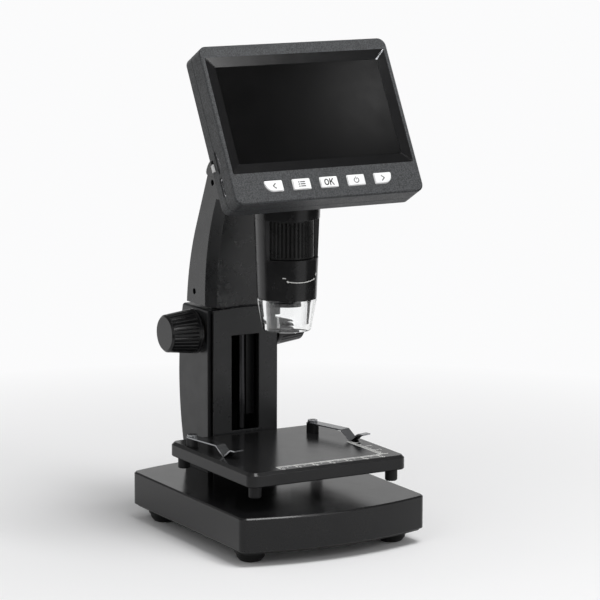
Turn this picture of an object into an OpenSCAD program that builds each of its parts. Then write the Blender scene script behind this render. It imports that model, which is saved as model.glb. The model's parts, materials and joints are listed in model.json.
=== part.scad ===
// LCD digital microscope: weighted base, column with rack focusing, curved arm,
// lens barrel with a recessed focus wheel, tilting screen housing and a clip stage.
// Millimetres. X to the right, Y to the back, Z up; z = 0 under the rubber feet.

/* [Base] */
// Half width of the base
base_hw = 55; // [45:0.5:66]
// Depth of the base's straight sides, front corner to rear corner
base_side_len = 123.6; // [100:0.2:150]
// How far the front and back edges bow out
base_bow = 9.3; // [4:0.1:14]
// Corner radius of the base
base_corner_r = 4.4; // [2:0.1:8]
// Height of the base's top face
base_top = 26.07; // [20:0.1:34]
// Height of the lower edge of the base shell
base_low = 8.3; // [6:0.1:10]
// Radius of a rubber foot
foot_r = 8.5; // [6:0.1:10]

/* [Stage] */
// Half width of the stage
stage_hw = 47.15; // [38:0.1:54]
// Front edge of the stage
stage_front = -56.9; // [-62:0.1:-46]
// Top face of the stage
stage_top = 47.5; // [44:0.1:54]
// Depth of the stage's edge
stage_h = 7.6; // [5:0.1:10]
// Radius of the stub posts under the stage
stub_r = 3.3; // [2:0.1:5]
// Left clip post
clip_left = [-42.3, 16];
// Right clip post
clip_right = [32, 17];
// Turn of the left clip towards the middle
clip_left_turn = 8.7; // [0:0.1:30]
// Turn of the right clip towards the outside
clip_right_turn = 15; // [0:0.1:30]
// Width of a clip's strip
clip_w = 6; // [4:0.1:7]
// Height of the clip posts
clip_post_h = 4.65; // [3.6:0.05:8]

/* [Column] */
// Half width of the column and arm
col_hw = 21.5; // [18:0.1:26]
// Front face of the column cover
col_front = 34.6; // [32:0.1:38]
// Rearmost point of the column
col_back = 70.9; // [64:0.1:78]
// Top of the column
col_top = 115.5; // [108:0.1:124]
// Radius of the bowed back of the column
col_back_r = 160; // [120:1:240]
// Half width of the slot in the cover
slot_hw = 8.5; // [6:0.1:11]
// Radius of the guide rod
rod_r = 2.4; // [1.6:0.05:2.6]
// Distance of the guide rod behind the cover's face
rod_set = 5; // [4.6:0.1:6]
// Wall of the column and arm shells
wall = 2; // [1.4:0.1:2.6]

/* [Focusing] */
// Height travel of the arm
travel = 40; // [20:1:40]
// Height of the knob shaft
knob_z = 102.7; // [100:0.1:104]
// Knob radius at the column
knob_r_in = 12.1; // [9:0.1:14]
// Knob radius at the outer end
knob_r_out = 10.2; // [7:0.1:12]
// Outer end of the knobs
knob_x = 41.3; // [34:0.1:50]
// Tooth module of rack and pinion
tooth_m = 0.8; // [0.6:0.05:0.9]
// Teeth on the pinion
tooth_n = 14; // [13:1:16]

/* [Arm] */
// Gap between column and arm
arm_gap = 1.8; // [1:0.1:3]
// Radius of the arm's curved front
arm_front_r = 114.1; // [100:0.1:130]
// Radius of the arm's curved back
arm_back_r = 129.7; // [118:0.1:150]
// Top of the arm's head
head_top = 189; // [186:0.5:194]
// Underside of the arm's head, top of the barrel
barrel_top = 177.5; // [174:0.5:180]

/* [Barrel] */
// Distance of the lens axis in front of the origin
axis_y = -10.8; // [-16:0.1:-6]
// Barrel radius at its lower end
barrel_r_low = 15.75; // [15.2:0.05:17]
// Barrel radius at its upper end
barrel_r_top = 17.6; // [17.2:0.1:20]
// Lower end of the barrel
barrel_low = 128.5; // [126:0.1:131]
// Focus wheel radius
wheel_r = 14.4; // [13.6:0.1:15]
// Lower edge of the wheel window
window_low = 150.3; // [147:0.1:154]
// Upper edge of the wheel window
window_top = 171.2; // [166:0.1:172]
// Distance of the wheel window's flat face in front of the lens axis
window_flat = 5.8; // [4:0.1:9]
// Lower end of the clear cap
cap_low = 111.5; // [104:0.1:118]
// Lower radius of the clear cap
cap_r_low = 12.9; // [11.5:0.1:15]

/* [Screen] */
// Backward tilt of the screen at rest
tilt = 28.72; // [20:0.1:40]
// Centre of the display, Y
lcd_y = -33.7; // [-38:0.1:-30]
// Centre of the display, Z
lcd_z = 229.6; // [224:0.1:236]
// Width of the visible display
lcd_w = 96; // [88:0.2:100]
// Height of the visible display
lcd_h = 53.6; // [48:0.2:56]
// Half width of the housing
case_hw = 55.6; // [52:0.1:60]
// Housing above the display's centre
case_up = 38.2; // [35:0.1:42]
// Housing below the display's centre
case_down = 48.7; // [46:0.1:54]
// Depth of the housing behind the display
case_back = 16; // [15:0.1:20]
// Corner radius of the housing
case_r = 4.5; // [2:0.1:8]
// Button pitch
button_pitch = 16.1; // [14.5:0.1:17]
// Button width
button_w = 10.4; // [8:0.1:11.5]
// Button height
button_h = 6; // [4:0.1:7]

/* [Hidden] */
$fn = 72;
run = 0.05;                     // running fit, radial
eps = 0.01;
base_bevel = 0.75;
end_y = base_side_len / 2;      // corner of the straight side
bow_y = end_y + base_bow;       // middle of the front or back edge
bow_r = (base_hw * base_hw + base_bow * base_bow) / (2 * base_bow);
fil_x = base_hw - base_corner_r;
fil_y = bow_y - bow_r + sqrt(pow(bow_r - base_corner_r, 2) - fil_x * fil_x);
floor_t = 2.4;                  // top wall of the base shell
plate_low = 7;                  // underside of the base plate, top of the feet
base_y = col_back + 0.2 - bow_y; // the column stands at the back edge
foot_x = base_hw - 12.5;
foot_y = end_y - 13.4;
stage_low = stage_top - stage_h;
stage_back = col_front - 0.4;
stage_r = 4.7;
stage_bevel = 1.5;
clip_t = 0.7;                   // strip of a clip
clip_screw_r = 1.25;
bracket_z = stage_low + 0.1;
bracket_t = 2.5;
bracket_hw = 12;
rod_y = col_front + rod_set;
rod_top = 165;
cover_t = 1.2;
strip_y = col_front + 3.2;      // front edge of the side shells
frame_y = strip_y + 0.2;
slot_low = 48.7;
slot_top = 101.2;
cover_hw = col_hw - 2.05;
col_arc_z = 77;
knob_y = 50;
shaft_r = 2;
bush_r = 4.5;
pitch_r = tooth_m * tooth_n / 2;
addendum = 0.8 * tooth_m;
dedendum = 1.05 * tooth_m;
backlash = 0.12;
rack_x0 = 4;
rack_x1 = 9;
rack_low = knob_z - travel - 7;
neck_low = 110;
neck_y0 = rod_y - 3;
neck_y1 = 48.5;
neck_hw = 13;
arm_low = col_top + arm_gap;
arc_y = 34.1 - arm_front_r;     // centre of the arm's curved front
arc_z = 122.6;
back_y = 61.4 - arm_back_r * cos(5.7);
back_z = 119.7 - arm_back_r * sin(5.7);
back_turn = 24.5;               // the arm's back runs straight above this angle
knee_y = back_y + arm_back_r * cos(back_turn);
knee_z = back_z + arm_back_r * sin(back_turn);
panel_hw = 17.5;
bevel_d = 6.5;                  // depth of the bevel beside the front panel
head_r = col_hw;
lens_r = 11.6;
bore_r = barrel_r_low - 2.5;    // bore of the barrel's lower end
led_ring_r = 9.6;
head_bore = 13.6;                // opening from the barrel into the arm's head
up_axis = -14;                  // hinge axis in the housing's own frame
n_axis = -case_back - 5;
pin_r = 2.5;
knuckle_r = 4.4;
leaf_hw = 11.3;
lug_x0 = 11.8;
lug_x1 = 16.8;
hinge_y = lcd_y + up_axis * sin(tilt) - n_axis * cos(tilt);
hinge_z = lcd_z + up_axis * cos(tilt) + n_axis * sin(tilt);
seam_n = -8.7;
face_n = 1;
skin = 2;
rim_x = 5.2;                    // width of the sloped frame around the display
rim_y = 5.15;
button_up = -40.15;
button_n = face_n + 0.6;
button_xs = [for (i = [-2 : 2]) 0.2 + i * button_pitch];
press = 0.8;
button_r = 4.8;                 // outer lower corner of the first and last key
switch_up = -23.35;
switch_n = -13;

// ---------- shared shapes ----------

// A box between two corners.
module box(a, b) translate(a) cube(b - a);

// A cylinder along X between two stations.
module xcyl(x0, x1, y, z, r, r2 = -1)
  translate([x0, y, z]) rotate([0, 90, 0])
    cylinder(r1 = r, r2 = r2 < 0 ? r : r2, h = x1 - x0);

// Extrudes a shape drawn in (Y, Z) along X.
module along_x(x0, x1) translate([x0, 0, 0]) rotate([90, 0, 90]) linear_extrude(x1 - x0) children();

// A slab of the base's bowed outline, inset i0 below and i1 above.
module bowed(i0, i1, z0, z1) {
  dir = [fil_x, fil_y - (bow_y - bow_r)] / (bow_r - base_corner_r);
  difference() {
    intersection() {
      translate([0, 90, 0]) rotate([90, 0, 0]) linear_extrude(180)
        polygon([[i0 - base_hw, z0], [base_hw - i0, z0], [base_hw - i1, z1], [i1 - base_hw, z1]]);
      translate([0, bow_y - bow_r, z0])
        cylinder(r1 = bow_r - i0, r2 = bow_r - i1, h = z1 - z0);
      translate([0, bow_r - bow_y, z0])
        cylinder(r1 = bow_r - i0, r2 = bow_r - i1, h = z1 - z0);
    }
    for (a = [0, 1], b = [0, 1]) mirror([a, 0, 0]) mirror([0, b, 0])
      translate([0, 0, z0 - 1]) linear_extrude(z1 - z0 + 2)
        polygon([[fil_x, fil_y], [base_hw + 1, fil_y], [base_hw + 1, fil_y + 22],
                 [fil_x + dir[0] * 22, fil_y + dir[1] * 22]]);
  }
  for (a = [-1, 1], b = [-1, 1]) translate([a * fil_x, b * fil_y, z0])
    cylinder(r1 = base_corner_r - i0, r2 = base_corner_r - i1, h = z1 - z0);
}

// A rounded plate, centred on X, from y0 to y1, with bevels bl below and bt above.
module bevel_plate(hw, y0, y1, r, z0, z1, bl, bt) {
  cy = (y0 + y1) / 2;
  hy = (y1 - y0) / 2;
  translate([0, cy + hy - r, 0]) rotate([90, 0, 0]) linear_extrude(2 * (hy - r)) bevel_section(hw, z0, z1, bl, bt);
  translate([0, cy, 0]) rotate([90, 0, 90]) translate([0, 0, r - hw]) linear_extrude(2 * (hw - r))
    bevel_section(hy, z0, z1, bl, bt);
  for (a = [-1, 1], b = [-1, 1]) translate([a * (hw - r), cy + b * (hy - r), 0]) {
    translate([0, 0, z0 + bl]) cylinder(r = r, h = z1 - z0 - bl - bt);
    if (bl > 0) translate([0, 0, z0]) cylinder(r1 = r - bl, r2 = r, h = bl);
    if (bt > 0) translate([0, 0, z1 - bt]) cylinder(r1 = r, r2 = r - bt, h = bt);
  }
}

module bevel_section(h, z0, z1, bl, bt)
  polygon([[bl - h, z0], [h - bl, z0], [h, z0 + bl], [h, z1 - bt],
           [h - bt, z1], [bt - h, z1], [-h, z1 - bt], [-h, z0 + bl]]);

// A flat rectangle with four corner radii: right top, left top, left bottom, right bottom.
module rounded(w, h, c) {
  polygon([[w / 2, h / 2 - c[0]], [w / 2 - c[0], h / 2], [c[1] - w / 2, h / 2], [-w / 2, h / 2 - c[1]],
           [-w / 2, c[2] - h / 2], [c[2] - w / 2, -h / 2], [w / 2 - c[3], -h / 2], [w / 2, c[3] - h / 2]]);
  translate([w / 2 - c[0], h / 2 - c[0]]) quarter(c[0], 0);
  translate([c[1] - w / 2, h / 2 - c[1]]) quarter(c[1], 90);
  translate([c[2] - w / 2, c[2] - h / 2]) quarter(c[2], 180);
  translate([w / 2 - c[3], c[3] - h / 2]) quarter(c[3], 270);
}
module quarter(r, turn) intersection() {
  circle(r);
  rotate([0, 0, turn]) square(r + 1);
}

// A screw with a cross slot in its head, head at z = 0 and shank downwards.
module screw(head_r, head_h, shank_r, len) {
  difference() {
    cylinder(r = head_r, h = head_h);
    for (a = [0, 90]) rotate([0, 0, a]) translate([-head_r * 0.6, -0.35, head_h - 0.7]) cube([head_r * 1.2, 0.7, 1]);
  }
  translate([0, 0, -len]) cylinder(r = shank_r, h = len + eps);
}

// ---------- base ----------

module base_shell() color([0.06, 0.06, 0.07]) difference() {
  translate([0, base_y, 0]) union() {
    difference() {
      union() {
        bowed(0.3, 0, base_low, base_low + 0.3);
        bowed(0, 0, base_low + 0.3, base_top - base_bevel);
        bowed(0, base_bevel, base_top - base_bevel, base_top);
      }
      bowed(2.2, 2.2, base_low - 1, base_top - floor_t);
    }
    for (p = screw_spots) translate([p[0], p[1], plate_low + 4.1])
      cylinder(r = 3.6, h = base_top - floor_t - plate_low - 4.1 + eps);
    for (x = [-24, 24]) box([x - 0.8, -50, base_top - floor_t - 6], [x + 0.8, 50, base_top - floor_t + eps]);
  }
  for (p = screw_spots) translate([p[0], base_y + p[1], plate_low + 4]) cylinder(r = 1.5, h = 9);
  for (x = [-1, 1]) translate([x * foot_screw_x, foot_screw_y, base_top - 5]) cylinder(r = shaft_r + run, h = 9);
}
screw_spots = [for (a = [-1, 1], b = [-1, 1]) [a * (base_hw - 22), b * (end_y - 6)]];
foot_screw_x = 12;
foot_screw_y = 54;

module base_plate() color([0.05, 0.05, 0.055]) translate([0, base_y, 0]) difference() {
  union() {
    bowed(2.2, 0.9, plate_low, base_low);
    bowed(2.4, 2.4, base_low - eps, base_low + 1.2);
  }
  for (p = screw_spots) translate([p[0], p[1], 0]) {
    cylinder(r = 1.7, h = 20);
    cylinder(r = 3.2, h = plate_low + 1);
  }
  for (a = [-1, 1], b = [-1, 1]) translate([a * foot_x, b * foot_y, 0]) cylinder(r = 2.5, h = 20);
}

module base_weight() color([0.45, 0.45, 0.47]) translate([0, base_y, 0]) difference() {
  bevel_plate(28, 17.8 - end_y, end_y - 17.8, 3, base_low + 1.2, base_low + 7.2, 0, 0.8);
  for (y = [31.8 - end_y, end_y - 31.8]) translate([0, y, 0]) cylinder(r = 3, h = 30);
}

module rubber_feet() color([0.03, 0.03, 0.03])
  for (a = [-1, 1], b = [-1, 1]) translate([a * foot_x, base_y + b * foot_y, 0]) rotate_extrude()
    polygon([[0, 0], [foot_r - 3.6, 0], [foot_r - 2.8, 0.4], [foot_r - 1.3, 2.2], [foot_r - 0.5, 4.6],
             [foot_r, 4.9], [foot_r, plate_low - 0.4], [foot_r - 0.4, plate_low],
             [2.5, plate_low], [2.5, base_low + 1], [0, base_low + 1]]);

module base_screws() color([0.5, 0.5, 0.52])
  for (p = screw_spots) translate([p[0], base_y + p[1], plate_low + 1]) rotate([180, 0, 0]) screw(2.9, 1, 1.5, 8);

// ---------- column ----------

module column_profile(i) intersection() {
  translate([col_back - col_back_r, col_arc_z]) circle(col_back_r - i);
  translate([strip_y - (i > 0 ? 3 : 0), base_top - (i > 0 ? 3 : 0)])
    square([60, col_top - base_top - (i > 0 ? i - 3 : 0)]);
}

module column_half(s) difference() {
  union() {
    difference() {
      along_x(s < 0 ? -col_hw : 0, s < 0 ? 0 : col_hw) column_profile(0);
      along_x(s < 0 ? -col_hw + wall : -1, s < 0 ? 1 : col_hw - wall) column_profile(wall);
      // rounded shoulder
      mirror([s > 0 ? 1 : 0, 0, 0]) difference() {
        box([-col_hw - 1, 0, col_top - 1.5], [-col_hw + 1.5, 90, col_top + 1]);
        translate([-col_hw + 1.5, 0, col_top - 1.5]) rotate([-90, 0, 0]) cylinder(r = 1.5, h = 90);
      }
    }
    // stiffening ribs across the back
    for (k = [0 : 2]) intersection() {
      along_x(s < 0 ? -col_hw + wall / 2 : 0, s < 0 ? 0 : col_hw - wall / 2) column_profile(wall / 2);
      box([-col_hw, 57, 57.4 + k * 18.2], [col_hw, 90, 58.6 + k * 18.2]);
    }
  }
  box([-neck_hw - 0.4, 30, col_top - 5], [neck_hw + 0.4, neck_y1 + 0.4, col_top + 1]);
  xcyl(-40, 40, knob_y, knob_z, bush_r);
}

module column_left_shell() color([0.07, 0.07, 0.08]) column_half(-1);
module column_right_shell() color([0.07, 0.07, 0.08]) column_half(1);

module column_cover() color([0.08, 0.08, 0.09]) difference() {
  translate([0, col_front + cover_t, 0]) rotate([90, 0, 0]) linear_extrude(cover_t) difference() {
    intersection() {
      translate([-cover_hw, base_top]) square([2 * cover_hw, 120]);
      translate([0, col_top + 0.8 - 240]) circle(240);
    }
    translate([-slot_hw, slot_low]) square([2 * slot_hw, slot_top - slot_low]);
    translate([-bracket_hw - 0.2, bracket_z - 0.2]) square([2 * bracket_hw + 0.4, bracket_t + 0.4]);
  }
}

module column_frame() color([0.03, 0.03, 0.03]) difference() {
  union() {
    box([wall - col_hw, frame_y, base_top], [col_hw - wall, frame_y + 2, col_top - wall]);
    for (s = [-1, 1]) translate([s * 12.5, 0, 0])
      box([-1.5, col_front + cover_t, base_top], [1.5, frame_y + eps, 108]);
  }
  box([-slot_hw - 1, 0, bracket_z - 0.2], [slot_hw + 1, 90, 200]);
  box([-bracket_hw - 0.2, 0, bracket_z - 0.2], [bracket_hw + 0.2, 90, bracket_z + bracket_t + 0.2]);
  box([-slot_hw - 0.8, 0, 0], [slot_hw + 0.8, 90, 60]);
  box([-neck_hw - 0.4, 0, 108.5], [neck_hw + 0.4, 90, 200]);
}

module column_foot() color([0.35, 0.35, 0.37]) difference() {
  union() {
    box([wall - col_hw, frame_y + 2, base_top], [col_hw - wall, 60, bracket_z]);
    box([-slot_hw - 0.6, col_front + cover_t, base_top], [slot_hw + 0.6, frame_y + 3, bracket_z]);
  }
  translate([0, rod_y, base_top + 2]) cylinder(r = rod_r, h = 30);
  for (x = [-1, 1]) translate([x * foot_screw_x, foot_screw_y, 0]) cylinder(r = shaft_r, h = bracket_z - 3);
}

module column_screws() color([0.5, 0.5, 0.52])
  for (x = [-1, 1]) translate([x * foot_screw_x, foot_screw_y, base_top - floor_t]) rotate([180, 0, 0])
    screw(4, 1.8, shaft_r, 12);

module guide_rod() color([0.75, 0.76, 0.78]) {
  translate([0, rod_y, base_top + 2]) cylinder(r = rod_r, h = rod_top - base_top - 2.6);
  translate([0, rod_y, rod_top - 0.6]) cylinder(r1 = rod_r, r2 = rod_r - 0.6, h = 0.6);
}

module rod_collar() color([0.75, 0.76, 0.78]) translate([0, rod_y, bracket_z + bracket_t]) difference() {
  union() {
    cylinder(r = 3.6, h = 3.8);
    translate([0, 0, 3.8]) cylinder(r1 = 3.6, r2 = 3, h = 0.6);
  }
  translate([0, 0, -1]) cylinder(r = rod_r, h = 9);
}

module shaft_bushes() color([0.62, 0.5, 0.28]) for (s = [0, 1]) mirror([s, 0, 0]) difference() {
  union() {
    xcyl(-col_hw - 0.2, wall - col_hw + 1.5, knob_y, knob_z, bush_r);
    xcyl(-col_hw - 1.2, -col_hw, knob_y, knob_z, bush_r + 1.6);
  }
  xcyl(-30, 0, knob_y, knob_z, shaft_r + run);
}

// ---------- stage ----------

module stage_bracket() color([0.4, 0.4, 0.42]) difference() {
  union() {
    box([-bracket_hw, -34, bracket_z], [bracket_hw, 58, bracket_z + bracket_t]);
    box([-bracket_hw - 10, -34, bracket_z], [bracket_hw + 10, 26, bracket_z + bracket_t]);
  }
  translate([0, rod_y, 0]) cylinder(r = rod_r, h = 90);
  for (x = [-1, 1], y = [-28, 20]) translate([x * 17, y, 0]) cylinder(r = 1.7, h = 90);
}

module stage_plate() color([0.08, 0.08, 0.09]) difference() {
  union() {
    difference() {
      bevel_plate(stage_hw, stage_front, stage_back, stage_r, stage_low, stage_top, 0.4, stage_bevel);
      bevel_plate(stage_hw - 2, stage_front + 2, stage_back - 2, stage_r - 2, stage_low - 1,
                  stage_top - 2.5, 0, 0);
    }
    for (x = [-1, 1], y = [-28, 20]) translate([x * 17, y, bracket_z + bracket_t])
      cylinder(r = 3.4, h = stage_top - 2.5 - bracket_z - bracket_t + eps);
    for (y = [-42, -6]) box([-stage_hw + 1, y - 0.7, bracket_z + bracket_t + 0.2],
                            [stage_hw - 1, y + 0.7, stage_top - 2.4]);
  }
  for (x = [-1, 1], y = [-28, 20]) translate([x * 17, y, bracket_z]) cylinder(r = 1.5, h = 4.6);
  box([-bracket_hw - 0.2, stage_back - 3, stage_low - 1],
      [bracket_hw + 0.2, stage_back + 1, bracket_z + bracket_t + 0.2]);
}

module stage_screws() color([0.6, 0.6, 0.62])
  for (x = [-1, 1], y = [-28, 20]) translate([x * 17, y, bracket_z]) rotate([180, 0, 0]) screw(2.9, 1.4, 1.5, 4.4);

module stage_stubs() color([0.05, 0.05, 0.055])
  for (p = [[-41, -50.5], [41, -50.5], [-41, 28], [41, 28]]) translate([p[0], p[1], 0]) {
    translate([0, 0, 33.9]) cylinder(r = stub_r, h = stage_top - 2.5 - 33.9);
    translate([0, 0, 33.4]) cylinder(r1 = stub_r - 0.5, r2 = stub_r, h = 0.5 + eps);
  }

module at_posts() for (p = [[clip_left, clip_left_turn], [clip_right, clip_right_turn]])
  translate([p[0][0], p[0][1], stage_top]) rotate([0, 0, p[1]]) children();

// Oblong block that carries a clip.
module clip_posts() color([0.05, 0.05, 0.055]) at_posts() difference() {
  union() {
    for (y = [-1.8, 1.8]) translate([0, y, 0]) cylinder(r = 2.1, h = clip_post_h);
    box([-2.1, -1.8, 0], [2.1, 1.8, clip_post_h]);
  }
  translate([0, 0, 1.4]) cylinder(r = clip_screw_r, h = clip_post_h);
}

module clip_screws() color([0.8, 0.8, 0.82]) at_posts()
  translate([0, 0, clip_post_h + clip_t + 2 * run]) screw(2.7, 1.1, clip_screw_r, clip_post_h + clip_t + 2 * run - 1.4);

// Spring clip: flat strip on the post, step down to the stage, upturned tip.
module clip() {
  zt = clip_post_h + run;
  difference() {
    union() {
      rotate([90, 0, -90]) translate([0, 0, -clip_w / 2]) linear_extrude(clip_w)
        polygon([[0, zt], [24.2, zt], [25.4, zt - clip_t], [30.6, run], [31.7, run], [36.6, 3.9], [37.7, 4.3],
                 [40.8, 4.3], [40.8, 4.3 + clip_t], [37.5, 4.3 + clip_t], [36.2, 3.9 + 0.8 * clip_t],
                 [31.35, 0.9 * clip_t], [30.95, 0.9 * clip_t], [25.8, zt - 0.2 * clip_t],
                 [24.6, zt + clip_t], [0, zt + clip_t]]);
      translate([0, 0, zt]) cylinder(r = clip_w / 2, h = clip_t);
    }
    translate([0, 0, zt - 1]) cylinder(r = clip_screw_r + run, h = 3);
  }
}

module left_clip() color([0.85, 0.86, 0.88]) translate([clip_left[0], clip_left[1], stage_top])
  rotate([0, 0, clip_left_turn]) clip();
module right_clip() color([0.85, 0.86, 0.88]) translate([clip_right[0], clip_right[1], stage_top])
  rotate([0, 0, clip_right_turn]) clip();

// ---------- knobs, rack and pinion ----------

module knob_shaft() color([0.7, 0.7, 0.72]) xcyl(-knob_x + 4, knob_x - 4, knob_y, knob_z, shaft_r);

// Involute point of a base circle at roll angle a, in degrees.
function inv_pt(rb, a) = [rb * (cos(a) + a * PI / 180 * sin(a)), rb * (sin(a) - a * PI / 180 * cos(a))];
function roll_at(rb, r) = sqrt(max(0, r * r / (rb * rb) - 1)) * 180 / PI;
function turn2(p, a) = [p[0] * cos(a) - p[1] * sin(a), p[0] * sin(a) + p[1] * cos(a)];

// Pinion outline with a tooth gap centred on +X.
module pinion_outline() {
  alpha = 20;
  rb = pitch_r * cos(alpha);
  ra = pitch_r + addendum;
  rf = pitch_r - dedendum;
  half = 90 / tooth_n - backlash / 2 / pitch_r * 180 / PI / 2;
  lead = (roll_at(rb, pitch_r) - alpha);
  r0 = max(rb, rf);
  flank = [for (i = [0 : 5]) inv_pt(rb, roll_at(rb, r0) + (roll_at(rb, ra) - roll_at(rb, r0)) * i / 5)];
  polygon([for (k = [0 : tooth_n - 1]) let (c = (k + 0.5) * 360 / tooth_n)
    each concat([turn2([rf, 0], c - 0.9 * 180 / tooth_n)],
                [turn2([rf, 0], c - half - lead)],
                [for (p = flank) turn2(p, c - half - lead)],
                [for (i = [0 : 5]) turn2([flank[5 - i][0], -flank[5 - i][1]], c + half + lead)],
                [turn2([rf, 0], c + half + lead)])]);
}

module pinion() color([0.75, 0.65, 0.4]) difference() {
  translate([rack_x0 - 0.4, knob_y, knob_z]) rotate([180, 0, 0]) rotate([90, 0, 90])
    linear_extrude(rack_x1 - rack_x0 + 0.8) pinion_outline();
  xcyl(0, 20, knob_y, knob_z, shaft_r);
}

module rack() color([0.75, 0.65, 0.4]) {
  p = PI * tooth_m;
  pitch_y = knob_y - pitch_r;
  n_low = floor((knob_z - rack_low) / p) - 1;
  n_up = 2;
  wt = p / 4 - backlash / 4;
  along_x(rack_x0, rack_x1) {
    translate([neck_y0 + 4.6, rack_low]) square([pitch_y - dedendum - neck_y0 - 4.6, neck_low + 4 - rack_low]);
    for (k = [-n_low : n_up]) translate([pitch_y, knob_z + k * p])
      polygon([[-dedendum - eps, -wt - dedendum * tan(20)], [addendum, -wt + addendum * tan(20)],
               [addendum, wt - addendum * tan(20)], [-dedendum - eps, wt + dedendum * tan(20)]]);
  }
}

module knob_half() difference() {
  union() {
    xcyl(-knob_x, -knob_x + 1, knob_y, knob_z, knob_r_out - 1.1, knob_r_out);
    xcyl(-knob_x + 1, -24.5, knob_y, knob_z, knob_r_out, knob_r_in);
    xcyl(-24.5, -23.4, knob_y, knob_z, knob_r_in + 0.2);
  }
  // finger ribs
  for (k = [0 : 29]) translate([-knob_x, knob_y, knob_z]) rotate([k * 12, 0, 0])
    translate([0, 0, knob_r_out]) rotate([0, -atan((knob_r_in - knob_r_out) / (knob_x - 24.5)), 0])
      translate([1.4, 0, 0.35]) rotate([0, 90, 0]) cylinder(r = 0.75, h = 14, $fn = 6);
  xcyl(-knob_x + 4, -20, knob_y, knob_z, shaft_r);
}

module left_knob() color([0.05, 0.05, 0.055]) knob_half();
module right_knob() color([0.05, 0.05, 0.055]) mirror([1, 0, 0]) knob_half();

// ---------- arm ----------

module carriage_neck() color([0.3, 0.3, 0.32]) difference() {
  union() {
    box([-neck_hw, neck_y0, neck_low], [neck_hw, neck_y1, 150]);
    box([wall - col_hw, 44, arm_low + 2], [col_hw - wall, neck_y1, 148]);
  }
  translate([0, rod_y, 90]) cylinder(r = rod_r + run, h = 90);
  box([rack_x0, neck_y0 + 4.6, 100], [rack_x1, knob_y - pitch_r + addendum + 0.4, neck_low + 4]);
  for (s = [-1, 1]) box([s * 16 - 2, 40, 124], [s * 16 + 2, neck_y1 + 1, 142]);
}

// Arm seen from the side, inset by i.
module arm_profile(i, z0, z1) difference() {
  union() {
    intersection() {
      translate([back_y, back_z]) circle(arm_back_r - i);
      translate([0, z0]) square([80, knee_z - z0 + eps]);
    }
    polygon([[-10, knee_z - i * sin(back_turn)],
             [knee_y - i * cos(back_turn), knee_z - i * sin(back_turn)],
             [knee_y - i / cos(back_turn) - (z1 - knee_z) * tan(back_turn), z1], [-10, z1]]);
  }
  translate([arc_y, arc_z]) circle(arm_front_r + i);
  translate([-60, z0 - 1]) square([94.1 + i, arc_z - z0 + 1]);
}

// Bevels beside the front panel, along the curved and the straight part.
module arm_bevels(i) {
  k = (col_hw - panel_hw) / bevel_d;
  r = arm_front_r + i * 1.6;
  for (s = [0, 1]) mirror([s, 0, 0]) {
    intersection() {
      translate([0, arc_y, arc_z]) rotate([0, 90, 0]) rotate_extrude()
        polygon([[r - 8, panel_hw - 8 * k], [r + 10, panel_hw + 10 * k], [r - 8, panel_hw + 10 * k]]);
      box([0, 0, arc_z - eps], [40, 60, 200]);
    }
    translate([0, 0, 100]) linear_extrude(arc_z - 100)
      polygon([[panel_hw - 8 * k, arc_y + r - 8], [panel_hw + 10 * k, arc_y + r + 10],
               [panel_hw + 10 * k, arc_y + r - 8]]);
  }
}

module arm_body() {
  difference() {
    along_x(-col_hw, col_hw) arm_profile(0, arm_low, head_top);
    arm_bevels(0);
    box([-60, -60, barrel_top - 40], [60, 12, 300]);
    difference() {
      box([-60, -60, barrel_top], [60, 22, 300]);
      box([-30, 0, barrel_top - 1], [30, 30, 300]);
    }
  }
  intersection() {
    union() {
      translate([0, axis_y, barrel_top]) cylinder(r = head_r, h = head_top - barrel_top);
      box([-head_r, axis_y, barrel_top], [head_r, 45, head_top]);
    }
    along_x(-col_hw, col_hw) union() {
      translate([-60, 100]) square([80, 120]);
      arm_profile(0, arm_low, head_top);
    }
  }
}

module arm_hollow() {
  difference() {
    along_x(wall - col_hw, col_hw - wall) arm_profile(wall, arm_low - 2, head_top - wall);
    arm_bevels(wall);
    box([-60, -60, barrel_top - 40], [60, 16, 300]);
  }
  intersection() {
    union() {
      translate([0, axis_y, barrel_top + wall]) cylinder(r = head_r - wall, h = head_top - barrel_top - 2 * wall);
      box([wall - head_r, axis_y, barrel_top + wall], [head_r - wall, 24, head_top - wall]);
    }
  }
}

// Region of the curved front panel.
module panel_zone(x) difference() {
  along_x(-x, x) difference() {
    union() {
      translate([arc_y, arc_z]) circle(arm_front_r + wall);
      translate([0, 100]) square([34.1 + wall, arc_z - 100]);
    }
    translate([arc_y, arc_z]) circle(arm_front_r);
    translate([0, 99]) square([34.1, arc_z - 99]);
  }
  box([-40, -300, 0], [40, 10, 400]);
  box([-40, -300, barrel_top], [40, 300, 400]);
  box([-40, -300, -200], [40, 300, arm_low]);
}

arm_holes = [[31.8, 185.7], [52.8, 123.9]];

module arm_shell(s) difference() {
  union() {
    intersection() {
      difference() {
        arm_body();
        arm_hollow();
      }
      box(s < 0 ? [-60, -60, 100] : [0, -60, 100], s < 0 ? [0, 90, 200] : [60, 90, 200]);
    }
    for (h = arm_holes) xcyl(s < 0 ? wall / 2 - col_hw : 0, s < 0 ? 0 : col_hw - wall / 2, h[0], h[1], 3.1);
  }
  panel_zone(panel_hw);
  for (h = arm_holes) {
    if (s < 0) xcyl(-30, 1, h[0], h[1], 1.65);
    if (s > 0) xcyl(-1, 8, h[0], h[1], 1.4);
  }
  translate([0, axis_y, barrel_top - 1]) cylinder(r = head_bore + 0.4, h = wall + 2);
}

module arm_left_shell() color([0.07, 0.07, 0.08]) arm_shell(-1);
module arm_right_shell() color([0.07, 0.07, 0.08]) arm_shell(1);

module arm_front_panel() color([0.06, 0.06, 0.07]) difference() {
  panel_zone(panel_hw);
  translate([0, 30, col_top + 0.8 + 1.3 - 240]) rotate([-90, 0, 0]) cylinder(r = 240, h = 12);
}

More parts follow.
